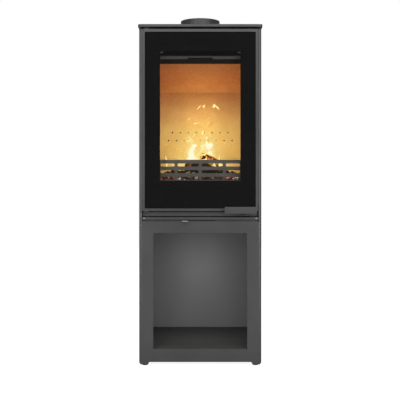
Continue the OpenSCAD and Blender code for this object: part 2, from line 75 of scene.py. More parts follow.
class Shader:
    """A material's node tree, with short names for the nodes that these materials use."""

    def __init__(self, name):
        self.material = bpy.data.materials.new(name)
        self.material.use_nodes = True
        self.tree = self.material.node_tree
        self.tree.nodes.clear()
        self.output = self.node("ShaderNodeOutputMaterial")
        self.place = self.node("ShaderNodeTexCoord").outputs["Object"]

    def node(self, kind, **settings):
        made = self.tree.nodes.new(kind)
        for key, value in settings.items():
            setattr(made, key, value)
        return made

    def feed(self, socket, value):
        if isinstance(value, bpy.types.NodeSocket):
            self.tree.links.new(value, socket)
        elif isinstance(value, (tuple, list)) and socket.type == "RGBA":
            socket.default_value = (*value[:3], 1.0)
        else:
            socket.default_value = value

    def stretch(self, scale):
        """Positions scaled by axis, which stretches a texture along an axis scaled below 1."""
        made = self.node("ShaderNodeMapping")
        self.feed(made.inputs["Vector"], self.place)
        made.inputs["Scale"].default_value = scale
        return made.outputs["Vector"]

    def noise(self, size, detail=4.0, place=None):
        """Noise with grains of that size, in metres."""
        made = self.node("ShaderNodeTexNoise")
        self.feed(made.inputs["Vector"], place or self.place)
        made.inputs["Scale"].default_value = 1 / size
        made.inputs["Detail"].default_value = detail
        made.inputs["Roughness"].default_value = 0.55
        return made.outputs["Fac"]

    def cells(self, size, feature="F1", place=None, output="Distance"):
        """Voronoi cells of that size, in metres."""
        made = self.node("ShaderNodeTexVoronoi", feature=feature)
        self.feed(made.inputs["Vector"], place or self.place)
        made.inputs["Scale"].default_value = 1 / size
        return made.outputs[output]

    def ramp(self, source, *stops):
        """Colours by a value, from (position, colour) stops."""
        made = self.node("ShaderNodeValToRGB")
        elements = made.color_ramp.elements
        while len(elements) < len(stops):
            elements.new(0.5)
        for element, (position, colour) in zip(elements, stops):
            element.position = position
            element.color = (*colour, 1.0)
        self.feed(made.inputs["Fac"], source)
        return made.outputs["Color"]

    def span(self, source, low, high, to_low=0.0, to_high=1.0):
        """The source's range low to high, carried over to to_low to to_high and held there."""
        made = self.node("ShaderNodeMapRange")
        self.feed(made.inputs["Value"], source)
        made.inputs["From Min"].default_value = low
        made.inputs["From Max"].default_value = high
        made.inputs["To Min"].default_value = to_low
        made.inputs["To Max"].default_value = to_high
        return made.outputs["Result"]

    def math(self, operation, a, b=0.0):
        made = self.node("ShaderNodeMath", operation=operation)
        self.feed(made.inputs[0], a)
        self.feed(made.inputs[1], b)
        return made.outputs[0]

    def vector(self, operation, a, b=None):
        made = self.node("ShaderNodeVectorMath", operation=operation)
        self.feed(made.inputs[0], a)
        if operation == "SCALE":
            made.inputs["Scale"].default_value = b
        elif b is not None:
            self.feed(made.inputs[1], b)
        return made.outputs["Value" if operation == "LENGTH" else "Vector"]

    def mix(self, share, a, b):
        """Colour a where share is 0, and b where it is 1."""
        made = self.node("ShaderNodeMix", data_type="RGBA")
        self.feed(made.inputs["Factor"], share)
        self.feed(made.inputs["A"], a)
        self.feed(made.inputs["B"], b)
        return made.outputs["Result"]

    def split(self, vector):
        made = self.node("ShaderNodeSeparateXYZ")
        self.feed(made.inputs["Vector"], vector)
        return made.outputs

    def bump(self, height, distance, strength=1.0, under=None):
        """Normals from a height of 0 to 1, which stands for that distance in metres."""
        made = self.node("ShaderNodeBump")
        made.inputs["Strength"].default_value = strength
        made.inputs["Distance"].default_value = distance
        self.feed(made.inputs["Height"], height)
        if under is not None:
            self.feed(made.inputs["Normal"], under)
        return made.outputs["Normal"]

    def surface(self, colour, roughness, normal=None, **settings):
        made = self.node("ShaderNodeBsdfPrincipled")
        self.feed(made.inputs["Base Color"], colour)
        self.feed(made.inputs["Roughness"], roughness)
        if normal is not None:
            self.feed(made.inputs["Normal"], normal)
        for key, value in settings.items():
            self.feed(made.inputs[key.replace("_", " ")], value)
        return made.outputs["BSDF"]

    def between(self, share, first, second):
        """The first shader where share is 0, and the second where it is 1."""
        made = self.node("ShaderNodeMixShader")
        self.feed(made.inputs["Fac"], share)
        self.feed(made.inputs[1], first)
        self.feed(made.inputs[2], second)
        return made.outputs["Shader"]

    def burning(self, share, colour, strength):
        """Light of that colour where share is 1, and nothing at all where it is 0."""
        light = self.node("ShaderNodeEmission")
        self.feed(light.inputs["Color"], colour)
        light.inputs["Strength"].default_value = strength
        clear = self.node("ShaderNodeBsdfTransparent")
        return self.between(share, clear.outputs["BSDF"], light.outputs["Emission"])

    def to_blob(self, place, blob):
        """Distance from a blob's middle, 1 on its rim.

        A blob is (x, z, half width, half height, weight) in millimetres.
        """
        x, z, half_width, half_height = blob[:4]
        off = self.vector("SUBTRACT", place, (x / MM, 0, z / MM))
        off = self.vector("MULTIPLY", off, (MM / half_width, 0, MM / half_height))
        return self.vector("LENGTH", off)

    def done(self, shader):
        self.tree.links.new(shader, self.output.inputs["Surface"])
        return self.material


# ---- materials ----

def heat_paint(name, light, dark, rough):
    """Sprayed heat-resistant paint: a fine grain over slow changes of shade."""
    s = Shader(name)
    cloud = s.noise(0.12, detail=3)
    speck = s.noise(0.0012, detail=2)
    base = s.ramp(cloud, (0.3, dark), (0.7, light))
    colour = s.mix(s.span(speck, 0.35, 0.7, 0.0, 0.12), base, tuple(0.55 * c for c in dark))
    grain = s.bump(s.noise(0.0009, detail=3), 0.00012, 0.08)
    peel = s.bump(s.noise(0.006, detail=2), 0.00010, 0.02, grain)
    return s.done(s.surface(colour, s.span(cloud, 0.3, 0.7, rough, rough + 0.05), peel,
                            Specular_IOR_Level=0.75))


def brick():
    """Pressed vermiculite: mica flakes and small pits in a sandy board.

    It is browned by smoke higher up, and painted near black on the baffle's front end and inside the
    air holes, as painted shade.
    """
    s = Shader("vermiculite_board")
    flakes = s.cells(0.0035, output="Color")
    tone = s.noise(0.05, detail=5)
    height = s.split(s.place)[2]
    clean = s.ramp(tone, (0.3, (0.56, 0.425, 0.225)), (0.7, (0.64, 0.50, 0.27)))
    smoked = s.ramp(tone, (0.3, (0.43, 0.146, 0.056)), (0.7, (0.49, 0.174, 0.068)))
    colour = s.mix(s.span(height, 0.86, 1.05), clean, smoked)
    colour = s.mix(s.span(flakes, 0.2, 0.9, 0.0, 0.22), colour, (0.72, 0.50, 0.27))
    soot = s.noise(0.02, detail=6)
    colour = s.mix(s.span(soot, 0.55, 0.8, 0.0, 0.22), colour, (0.30, 0.16, 0.08))
    depth = s.split(s.place)[1]
    # painted shade: the baffle's unlit front end and the insides of the air holes are painted near
    # black
    baffle_front_face_share = s.span(depth, BAFFLE_FRONT_Y + 0.0005, BAFFLE_FRONT_Y + 0.002, 1.0, 0.0)
    baffle_end_painted_shade = s.math("MULTIPLY", baffle_front_face_share, s.span(height, BAFFLE_LOW_Z - 0.002, BAFFLE_LOW_Z))
    hole_painted_shade = s.span(depth, CHAMBER_BACK_Y + 0.0001, CHAMBER_BACK_Y + 0.0004)
    colour = s.mix(s.math("MAXIMUM", baffle_end_painted_shade, hole_painted_shade), colour, (0.010, 0.007, 0.005))
    pits = s.bump(s.cells(0.003), 0.0006, 0.5)
    return s.done(s.surface(colour, 0.93, s.bump(soot, 0.0008, 0.4, pits)))


def iron(name, dark, light, painted_light_above=None):
    """Sand-cast iron, with painted light (a pale grey) above the given height, if one is given."""
    s = Shader(name)
    sand = s.noise(0.0016)
    colour = s.ramp(s.noise(0.03), (0.3, dark), (0.7, light))
    if painted_light_above is not None:
        # painted light: above that height the iron is painted a pale grey
        bare_steel_and_painted_light = s.span(s.split(s.place)[2], painted_light_above - 0.002, painted_light_above)
        colour = s.mix(bare_steel_and_painted_light, colour, (0.55, 0.54, 0.53))
    return s.done(s.surface(colour, s.span(sand, 0.3, 0.7, 0.55, 0.75), s.bump(sand, 0.0004, 0.5)))


def zinc():
    """Zinc-plated steel with faint rolling lines."""
    s = Shader("zinc_plate")
    lines = s.noise(0.0015, detail=3, place=s.stretch((0.08, 1.0, 1.0)))
    cloud = s.noise(0.02, detail=3)
    colour = s.ramp(cloud, (0.3, (0.50, 0.51, 0.53)), (0.7, (0.66, 0.67, 0.69)))
    rolled = s.bump(lines, 0.00005, 0.4)
    return s.done(s.surface(colour, s.span(lines, 0.3, 0.7, 0.28, 0.42), rolled, Metallic=1.0))


def worn_steel():
    """Dull unpainted steel, brushed along the lever and blackened inside the stove."""
    s = Shader("worn_steel")
    lines = s.noise(0.0012, detail=3, place=s.stretch((0.1, 1.0, 1.0)))
    cloud = s.noise(0.012, detail=3)
    bare_steel_and_painted_light = s.ramp(cloud, (0.3, (0.36, 0.36, 0.365)), (0.7, (0.46, 0.46, 0.465)))
    black = s.ramp(cloud, (0.3, (0.050, 0.050, 0.050)), (0.7, (0.064, 0.063, 0.062)))
    inside = s.span(s.split(s.place)[1], DOOR_Y - 0.002, DOOR_Y + 0.001)
    colour = s.mix(inside, bare_steel_and_painted_light, black)
    brushed = s.bump(lines, 0.00005, 0.4)
    return s.done(s.surface(colour, s.span(lines, 0.3, 0.7, 0.36, 0.48), brushed,
                            Metallic=s.span(inside, 0.0, 1.0, 0.6, 0.0)))


def screw_zinc():
    """Bright blasted zinc of the two small screws."""
    s = Shader("screw_zinc")
    sand = s.noise(0.0008, detail=3)
    colour = s.ramp(sand, (0.3, (0.30, 0.305, 0.31)), (0.7, (0.38, 0.385, 0.39)))
    return s.done(s.surface(colour, 0.5, s.bump(sand, 0.0001, 0.4), Metallic=0.5))


def store_floor():
    """Dull paint of the log store's floor, with painted shade making it darker towards the back."""
    s = Shader("store_floor_paint")
    dust = s.noise(0.05, detail=5)
    # painted shade: the floor's colour darkens towards the back
    back = s.span(s.split(s.place)[1], DOOR_Y + 0.08, DOOR_Y + 0.36)
    front_shade = s.ramp(dust, (0.3, (0.070, 0.069, 0.067)), (0.7, (0.084, 0.082, 0.079)))
    back_painted_shade = s.ramp(dust, (0.3, (0.024, 0.023, 0.023)), (0.7, (0.032, 0.031, 0.030)))
    colour = s.mix(back, front_shade, back_painted_shade)
    grain = s.bump(s.noise(0.0012, detail=3), 0.00015, 0.4)
    return s.done(s.surface(colour, s.span(dust, 0.3, 0.7, 0.5, 0.62), grain))


def glass():
    """Clear ceramic glass: see-through, with a faint warm tint and a mirror film."""
    s = Shader("ceramic_glass")
    through = s.node("ShaderNodeBsdfTransparent")
    smear = s.noise(0.08, detail=3)
    tint = s.ramp(smear, (0.35, (0.985, 0.975, 0.955)), (0.7, (0.965, 0.955, 0.93)))
    s.feed(through.inputs["Color"], tint)
    mirror = s.node("ShaderNodeBsdfGlossy")
    mirror.inputs["Roughness"].default_value = 0.03
    fresnel = s.node("ShaderNodeFresnel")
    fresnel.inputs["IOR"].default_value = 1.45
    return s.done(s.between(fresnel.outputs["Fac"], through.outputs["BSDF"], mirror.outputs["BSDF"]))


def enamel():
    """Black enamel printed on the back of the glass, with a smooth dark gloss."""
    s = Shader("black_enamel")
    cloud = s.noise(0.04, detail=3)
    colour = s.ramp(cloud, (0.3, (0.0035, 0.0035, 0.0037)), (0.7, (0.0050, 0.0050, 0.0052)))
    return s.done(s.surface(colour, s.span(cloud, 0.3, 0.7, 0.09, 0.13)))


def seal_rope():
    """Knitted glass-fibre rope."""
    s = Shader("seal_rope")
    knit = s.cells(0.0028)
    colour = s.ramp(knit, (0.0, (0.33, 0.32, 0.30)), (0.5, (0.12, 0.115, 0.11)))
    return s.done(s.surface(colour, 0.95, s.bump(knit, 0.0009, 0.8)))


def moulded(name, shade):
    """Moulded plastic or satin black steel."""
    s = Shader(name)
    grain = s.noise(0.001, detail=2)
    colour = s.ramp(s.noise(0.03), (0.3, tuple(0.8 * c for c in shade)), (0.7, shade))
    return s.done(s.surface(colour, s.span(grain, 0.3, 0.7, 0.42, 0.55), s.bump(grain, 0.0001, 0.4)))


def charred_wood(name, heat_low, heat_high):
    """Burning log: cracked char, pale ash in patches and glowing cracks."""
    s = Shader(name)
    crack = s.cells(0.013, feature="DISTANCE_TO_EDGE", place=s.stretch((0.55, 1.0, 1.0)))
    tone = s.noise(0.012, detail=6)
    char = s.ramp(tone, (0.35, (0.010, 0.008, 0.007)), (0.6, (0.05, 0.027, 0.016)),
                  (0.8, (0.13, 0.06, 0.03)))
    ash = s.span(s.noise(0.02, detail=5), 0.60, 0.72)
    colour = s.mix(ash, char, (0.40, 0.37, 0.35))
    heat = s.math("MULTIPLY", s.span(crack, 0.0, 0.16, 1.0, 0.0),
                  s.span(s.noise(0.03, detail=3), heat_low, heat_high))
    glow = s.ramp(heat, (0.0, (0.0, 0.0, 0.0)), (0.25, (0.30, 0.06, 0.008)), (0.5, (0.85, 0.36, 0.05)),
                  (0.9, (1.0, 0.74, 0.24)))
    bump = s.bump(s.span(crack, 0.0, 0.15), 0.003, 0.9, s.bump(tone, 0.002, 0.6))
    return s.done(s.surface(colour, 0.9, bump, Emission_Color=glow, Emission_Strength=1.8))


def embers(name, shade, ash_low, heat_low, strength):
    """Charcoal with ash over it and a glow in places."""
    s = Shader(name)
    tone = s.noise(0.006, detail=5)
    body = s.ramp(tone, (0.3, tuple(0.3 * c for c in shade)), (0.75, shade))
    ash = s.span(s.noise(0.011, detail=5), ash_low, ash_low + 0.12)
    colour = s.mix(ash, body, (0.62, 0.53, 0.53))
    heat = s.span(s.noise(0.018, detail=4), heat_low, heat_low + 0.22)
    glow = s.ramp(heat, (0.0, (0.0, 0.0, 0.0)), (0.5, (0.75, 0.08, 0.006)), (1.0, (1.0, 0.40, 0.07)))
    return s.done(s.surface(colour, 0.92, s.bump(tone, 0.002, 0.8),
                            Emission_Color=glow, Emission_Strength=strength))


def haze(blobs):
    """Soft glow around the flames, from blobs as Shader.to_blob takes them."""
    s = Shader("flame_haze")
    cloud = s.noise(0.030, detail=5)
    share = s.span(cloud, 0.25, 0.75, -0.05, 0.05)
    for blob in blobs:
        weight = blob[4]
        near = s.math("POWER", s.span(s.to_blob(s.place, blob), 0.1, 1.0, 1.0, 0.0), 1.3)
        drift = s.span(cloud, 0.25, 0.75, 0.8 * weight, 1.2 * weight)
        share = s.math("ADD", share, s.math("MULTIPLY", near, drift))
    above_bed = s.span(s.split(s.place)[2], 0.664, 0.700)
    share = s.math("MINIMUM", s.math("MULTIPLY", share, above_bed), 0.85)
    colour = s.ramp(share, (0.0, (1.0, 0.70, 0.19)), (0.7, (1.0, 0.80, 0.30)))
    return s.done(s.burning(s.span(share, 0.05, 1.0), colour, 1.12))


def burning_blobs(name, blobs):
    """Ragged flame sheet, from blobs as Shader.to_blob takes them."""
    s = Shader(name)
    waves = s.node("ShaderNodeTexNoise")
    s.feed(waves.inputs["Vector"], s.place)
    waves.inputs["Scale"].default_value = 75.0
    waves.inputs["Detail"].default_value = 3.0
    wobble = s.vector("SUBTRACT", waves.outputs["Color"], (0.5, 0.5, 0.5))
    place = s.vector("ADD", s.place, s.vector("SCALE", wobble, 0.018))
    field = s.span(s.noise(0.009), 0.3, 0.7, -0.26, 0.20)
    for blob in blobs:
        field = s.math("ADD", field, s.span(s.to_blob(place, blob), 0.2, 1.75, blob[4], 0.0))
    solid = s.span(field, 0.22, 1.15)
    colour = s.ramp(solid, (0.0, (1.0, 0.72, 0.20)), (0.6, (1.0, 0.86, 0.36)),
                    (1.0, (1.0, 0.97, 0.72)))
    return s.done(s.burning(solid, colour, 1.12))


def flame():
    """Flame tongue: bright in its middle, and see-through along its edges and at both ends."""
    s = Shader("flame")
    across, along = s.split(s.node("ShaderNodeUVMap").outputs["UV"])[:2]
    side = s.math("ABSOLUTE", s.math("SUBTRACT", across, 0.5))
    wisps = s.noise(0.019, detail=5, place=s.stretch((1.0, 1.0, 0.85)))
    body = s.math("ADD", s.span(side, 0.0, 0.5, 1.15, -0.15), s.span(wisps, 0.30, 0.70, -0.6, 0.6))
    body = s.math("SUBTRACT", body, s.span(along, 0.55, 1.0, 0.0, 0.6))
    body = s.math("SUBTRACT", body, s.span(along, 0.0, 0.15, 0.5, 0.0))
    solid = s.span(body, 0.05, 0.85)
    colour = s.ramp(solid, (0.0, (1.0, 0.62, 0.14)), (0.6, (1.0, 0.76, 0.20)),
                    (1.0, (1.0, 0.90, 0.40)))
    return s.done(s.burning(solid, colour, 1.15))


MATERIALS = {
    "casing_paint": heat_paint("casing_paint", (0.078, 0.078, 0.079), (0.067, 0.067, 0.068), 0.285),
    "firebox_paint": heat_paint("firebox_paint", (0.030, 0.029, 0.028), (0.020, 0.019, 0.019), 0.6),
    "vermiculite": brick(),
    "cast_iron": iron("cast_iron", (0.108, 0.106, 0.106), (0.132, 0.130, 0.130)),
    "zinc_plate": zinc(),
    "ceramic_glass": glass(),
    "black_enamel": enamel(),
    "seal_rope": seal_rope(),
    "black_steel": moulded("black_steel", (0.018, 0.018, 0.019)),
    "foot_plastic": moulded("foot_plastic", (0.02, 0.02, 0.021)),
    "firewood": charred_wood("charred_wood", 0.58, 0.80),
    "embers": embers("charcoal", (0.052, 0.020, 0.008), 0.64, 0.62, 0.9),
}
HOT_WOOD = charred_wood("glowing_wood", 0.38, 0.58)
ASHEN = embers("ash", (0.36, 0.29, 0.28), 0.38, 0.72, 0.8)
GLOWING = embers("glowing_charcoal", (0.10, 0.035, 0.015), 0.66, 0.40, 0.9)
FLAME = flame()
HAZE = haze([(-34, 780, 76, 118, 0.62), (36, 784, 76, 122, 0.62), (0, 724, 160, 66, 0.45),
             (-100, 726, 58, 40, 0.42), (100, 726, 58, 40, 0.42)])
BLOBS_LEFT = [
    (-30, 794, 12, 15, 1.1), (-18, 798, 9, 6, 0.8), (-32, 774, 11, 14, 0.9), (-41, 757, 14, 18, 0.75),
    (-20, 752, 18, 16, 0.75), (-39, 819, 14, 6, 1.0), (-41, 831, 6, 5, 0.7), (-50, 813, 7, 4, 0.7),
    (-22, 842, 6, 5, 0.6), (-32, 722, 26, 26, 0.9),
]
BLOBS_RIGHT = [
    (40, 803, 14, 9, 1.1), (29, 797, 12, 12, 0.8), (22, 818, 5, 15, 0.7), (23, 830, 9, 5, 0.75),
    (37, 843, 6, 9, 0.85), (46, 832, 5, 4, 0.5), (7, 799, 8, 13, 0.75), (5, 817, 4, 9, 0.5),
    (37, 782, 12, 16, 0.65), (46, 762, 12, 18, 0.6), (18, 780, 13, 17, 0.55), (3, 776, 8, 17, 0.5),
    (30, 735, 30, 26, 0.9),
]
BURNING = {"flames_left": burning_blobs("flames_left", BLOBS_LEFT),
           "flames_right": burning_blobs("flames_right", BLOBS_RIGHT)}
OWN_MATERIAL = {
    "base_floor": store_floor(),
    "base_bolts": moulded("black_bolts", (0.045, 0.045, 0.046)),
    "latch_tongue": moulded("black_pin", (0.006, 0.006, 0.006)),
    "trim_screws": screw_zinc(),
    "air_slide": worn_steel(),
    # the deflector's top strip and lugs get painted light
    "airwash_deflector": iron("wash_iron", (0.075, 0.078, 0.086), (0.092, 0.095, 0.103), WASH_LUG_Z),
    # painted shade: the flue collar gets a darker copy of the casing paint
    "flue_collar": heat_paint("collar_painted_shade", (0.062, 0.062, 0.063), (0.052, 0.052, 0.053), 0.285),
    # painted light: the log store's back panel gets a lighter copy of the casing paint
    "base_back_panel": heat_paint("store_back_painted_light", (0.168, 0.168, 0.166), (0.152, 0.152, 0.150),
                                  0.5),
}


def paint(piece, material):
    piece.data.materials.clear()
    piece.data.materials.append(material)


for node_name, node_object in nodes.items():
    paint(node_object, OWN_MATERIAL.get(node_name) or MATERIALS[SLOT_OF[node_name]])


# ---- pieces ----

def smooth(bm):
    for face in bm.faces:
        face.smooth = True


def mesh_from(bm, name):
    mesh = bpy.data.meshes.new(name)
    bm.normal_update()
    bm.to_mesh(mesh)
    bm.free()
    return mesh


def new_piece(name, bm, material, body="stove"):
    """A piece that only Blender has, moving with one of the frame's bodies."""
    piece = bpy.data.objects.new(name, mesh_from(bm, name))
    bpy.context.scene.collection.objects.link(piece)
    paint(piece, material)
    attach(piece, body)
    return piece


def rounded_copy(node, width):
    """The node's own shape with its sharp edges rounded, in place of the plain CAD node."""
    bm = bmesh.new()
    bm.from_mesh(nodes[node].data)
    bmesh.ops.remove_doubles(bm, verts=bm.verts, dist=1e-6)
    bmesh.ops.dissolve_limit(bm, angle_limit=math.radians(0.5), verts=bm.verts, edges=bm.edges)
    smooth(bm)
    material = nodes[node].data.materials[0]
    piece = new_piece(node + "_rounded", bm, material, BODY_OF[node])
    bevel = piece.modifiers.new("rounded_edges", "BEVEL")
    bevel.width = width
    bevel.segments = 3
    bevel.limit_method = "ANGLE"
    bevel.angle_limit = math.radians(40)
    bevel.harden_normals = True
    piece.modifiers.new("even_shading", "WEIGHTED_NORMAL").keep_sharp = True
    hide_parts(node)


EDGE_WIDTHS = {
    "top_plate": 0.0012, "side_panel_left": 0.0005, "side_panel_right": 0.0005,
    "lower_apron": 0.0007, "bottom_plate": 0.0007, "base_front_panel": 0.0007,
    "base_side_left": 0.0005, "base_side_right": 0.0005, "door_frame": 0.0006,
    "door_handle": 0.0009, "log_guard": 0.0008, "flue_collar": 0.0016, "air_slide": 0.0005,
}
for node_name, edge_width in EDGE_WIDTHS.items():
    rounded_copy(node_name, edge_width)


# ---- the fire ----

def bed_height(x):
    """Top of the ember bed, which falls off towards the side bricks."""
    return BED_HIGH.z - 0.012 * min(1.0, max(0.0, (abs(x) - 0.100) / 0.046))


def ragged(place, size, shift):
    """Fractal noise around zero, with grains of that size in metres."""
    return noise.fractal(place / size + shift, 0.9, 2.1, 4)


def split_log(name, start, turn, lean, length, radius, split_faces, seed, material):
    """A half-charred split log: flat split faces and a rounded bark side, with ragged ends.

    It starts at its left end, turned and leaned by degrees, and each split face is a pair of the
    angle it faces and its distance from the middle as a share of the radius.
    """
    shift = Vector((seed * 3.7, seed * 1.3, seed * 2.9))
    rings, around = 60, 48
    rotate = Euler((0, math.radians(-lean), math.radians(turn))).to_matrix()
    bm = bmesh.new()
    loops = []
    for i in range(rings + 1):
        along = i / rings
        to_end = min(along, 1 - along) * length
        shrink = 1.0 - 0.38 * max(0.0, 1 - to_end / 0.010) ** 2
        loop = []
        for j in range(around):
            angle = 2 * math.pi * j / around
            reach = 1.0
            for facing, apothem in split_faces:
                toward = math.cos(angle - facing)
                if toward > 0.3:
                    reach = min(reach, apothem / toward)
            place = Vector((along * length, math.cos(angle) * reach * radius * shrink,
                            math.sin(angle) * reach * radius * shrink))
            outward = Vector((0, math.cos(angle), math.sin(angle)))
            place += outward * 0.0030 * ragged(place, 0.022, shift)
            place += outward * 0.0010 * ragged(place, 0.005, shift)
            place.x += 0.004 * ragged(place, 0.008, shift) * max(0.0, 1 - to_end / 0.02)
            loop.append(bm.verts.new(Vector(start) + rotate @ place))
        loops.append(loop)
    for first, second in zip(loops, loops[1:]):
        for j in range(around):
            k = (j + 1) % around
            bm.faces.new((first[j], first[k], second[k], second[j]))
    for loop, inward in ((loops[0], 0.002), (loops[-1], -0.002)):
        centre = sum((vert.co for vert in loop), Vector()) / around
        tip = bm.verts.new(centre + rotate @ Vector((inward, 0, 0)))
        for j in range(around):
            bm.faces.new((loop[j], loop[(j + 1) % around], tip))
    bmesh.ops.recalc_face_normals(bm, faces=bm.faces)
    smooth(bm)
    return new_piece(name, bm, material)


def charcoal_bed():
    """Closed mound of ash and fine charcoal, from side brick to side brick."""
    columns, rows = 90, 70
    front = GUARD_BACK_Y + 0.003
    bm = bmesh.new()
    grid = []
    for i in range(columns + 1):
        x = BED_LOW.x + (BED_HIGH.x - BED_LOW.x) * i / columns
        line = []
        for j in range(rows + 1):
            y = front + (BED_HIGH.y - front) * j / rows
            rise = min(1.0, 0.08 + (y - front) / 0.024)
            top = BED_LOW.z + (bed_height(x) - 0.003 - BED_LOW.z) * rise ** 0.6
            place = Vector((x, y, top))
            top += 0.004 * ragged(place, 0.02, Vector((5, 1, 2))) * rise
            line.append(bm.verts.new((x, y, top)))
        grid.append(line)
    for i in range(columns):
        for j in range(rows):
            bm.faces.new((grid[i][j], grid[i + 1][j], grid[i + 1][j + 1], grid[i][j + 1]))
    front_edge = [line[0] for line in grid]
    back_edge = [line[-1] for line in reversed(grid[:-1])]
    rim = front_edge + grid[-1][1:] + back_edge + list(reversed(grid[0][1:-1]))
    base = [bm.verts.new((vert.co.x, vert.co.y, BED_LOW.z)) for vert in rim]
    for j in range(len(rim)):
        k = (j + 1) % len(rim)
        bm.faces.new((rim[j], base[j], base[k], rim[k]))
    bm.faces.new(base)
    bmesh.ops.recalc_face_normals(bm, faces=bm.faces)
    for face in bm.faces:
        face.smooth = len(face.verts) == 4
    piece = new_piece("charcoal_bed", bm, MATERIALS["embers"])
    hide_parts("ember_bed")


def add_lump(bm, centre, size, rng):
    """One angular lump of charcoal."""
    stretch = (rng.uniform(0.8, 1.5), rng.uniform(0.7, 1.2), rng.uniform(0.55, 0.9))
    turn = Euler([rng.uniform(0, 6.3) for _ in range(3)]).to_matrix()
    shift = Vector([rng.uniform(0, 50) for _ in range(3)])
    for vert in bmesh.ops.create_icosphere(bm, subdivisions=3, radius=1.0)["verts"]:
        out = vert.co.normalized()
        dents = 0.30 * noise.noise(out * 1.2 + shift) + 0.12 * noise.noise(out * 3.7 + shift)
        out = out * (1 + dents)
        chunk = Vector([max(-0.72, min(0.72, c)) * s for c, s in zip(out, stretch)])
        vert.co = centre + turn @ chunk * size


def lumps(name, count, size_low, size_high, material, seed):
    """Lumps scattered over the bed, thickest along its front slope."""
    rng = random.Random(seed)
    bm = bmesh.new()
    for _ in range(count):
        size = rng.uniform(size_low, size_high)
        x = rng.uniform(BED_LOW.x + size + 0.004, BED_HIGH.x - size - 0.004)
        if rng.random() < 0.6:
            y = GUARD_BACK_Y + 1.25 * size + rng.uniform(0.0, 0.018)
            z = rng.uniform(BED_LOW.z + 0.008, bed_height(x) + 0.002)
        else:
            y = rng.uniform(BED_LOW.y + 0.02, BED_HIGH.y - size)
            z = bed_height(x) + rng.uniform(-0.001, 0.003)
        add_lump(bm, Vector((x, y, z)), size, rng)
    smooth(bm)
    new_piece(name, bm, material)


def charcoal_row():
    """A row of bigger lumps behind the guard's upper bar."""
    rng = random.Random(61)
    bm = bmesh.new()
    for i in range(14):
        size = rng.uniform(0.0095, 0.0125)
        x = -0.100 + 0.0165 * i + rng.uniform(-0.004, 0.004)
        z = BED_HIGH.z + rng.uniform(-0.003, 0.004)
        y = GUARD_BACK_Y + 0.020 + rng.uniform(-0.003, 0.004)
        add_lump(bm, Vector((x, y, z)), size, rng)
    smooth(bm)
    new_piece("charcoal_row", bm, MATERIALS["embers"])


def curve_value(p, q, r, u, t):
    """Catmull-Rom curve from q to r as t goes from 0 to 1, with p before them and u after."""
    return 0.5 * (2 * q + (r - p) * t + (2 * p - 5 * q + 4 * r - u) * t * t
                  + (3 * q - p - 3 * r + u) * t ** 3)


def along_curve(points, steps):
    """Points on a smooth curve through the given tuples."""
    padded = [points[0], *points, points[-1]]
    out = []
    for i in range(1, len(padded) - 2):
        around = padded[i - 1:i + 3]
        for k in range(steps):
            out.append(tuple(curve_value(*four, k / steps) for four in zip(*around)))
    out.append(points[-1])
    return out


def add_flame(bm, path, depth, facing, seed):
    """One flame tongue along a path of (x, z, half width) in millimetres, bowed to the front."""
    uv = bm.loops.layers.uv.verify()
    columns = 8
    line = along_curve(path, 7)
    shift = Vector((seed * 1.7, seed * 2.3, 0))
    across = Vector((math.cos(facing), math.sin(facing), 0))
    bow = Vector((math.sin(facing), -math.cos(facing), 0))
    grid = []
    for i, (x, z, half) in enumerate(line):
        row = []
        for j in range(columns + 1):
            side = 2 * j / columns - 1
            place = Vector((x, MM * depth, z)) + across * side * half
            place += bow * half * 0.45 * (1 - side * side)
            place += Vector((2.2, 3.0, 0)) * noise.noise(place / 17 + shift)
            row.append((bm.verts.new(place / MM), j / columns, i / (len(line) - 1)))
        grid.append(row)
    for low, high in zip(grid, grid[1:]):
        for j in range(columns):
            corners = (low[j], low[j + 1], high[j + 1], high[j])
            face = bm.faces.new([corner[0] for corner in corners])
            face.smooth = True
            for loop, corner in zip(face.loops, corners):
                loop[uv].uv = corner[1:]


HAZE_HALF_WIDTH = 0.157  # ends just short of the side bricks
HAZE_HALF_HEIGHT = 0.124
HAZE_MIDDLE_Z = 0.790
SHEET_OUTLINE = [(690, 46), (750, 50), (810, 48), (868, 40)]  # (z, half width) in millimetres
FLAME_PATHS = {
    "flame_wisps": [
        [(-28, 830, 3), (-21, 838, 8), (-12, 844, 4)],
        [(-25, 878, 3), (-17, 885, 8), (-6, 882, 3)],
        [(26, 868, 3), (31, 880, 9), (37, 893, 4)],
        [(6, 840, 3), (10, 850, 8), (14, 860, 3)],
        [(-54, 893, 2), (-45, 897, 4), (-34, 902, 2)],
        [(-12, 936, 3), (-5, 945, 5), (2, 951, 5), (8, 955, 2)],
        [(12, 942, 4), (14, 951, 11), (15, 960, 4)],
        [(49, 941, 4), (51, 950, 11), (52, 959, 4)],
        [(56, 952, 3), (63, 945, 6), (70, 937, 5), (75, 931, 2)],
        [(-130, 706, 6), (-128, 728, 6), (-131, 748, 5), (-133, 768, 2)],
        [(74, 712, 8), (76, 730, 9), (72, 748, 6), (76, 778, 2)],
        [(92, 704, 7), (90, 718, 8), (88, 736, 3)],
        [(46, 706, 8), (50, 718, 9), (48, 736, 3)],
        [(-131, 799, 1), (-130, 802, 2), (-128, 805, 1)],
    ],
    "flames_on_log": [
        [(22, 732, 4), (24, 742, 6), (22, 750, 4.5), (25, 758, 2)],
        [(36, 728, 4), (37, 737, 6), (36, 744, 4), (39, 752, 2)],
        [(54, 704, 6), (56, 716, 7), (52, 728, 4), (56, 738, 2)],
        [(72, 704, 5), (70, 716, 6), (74, 726, 4), (72, 737, 2)],
    ],
}


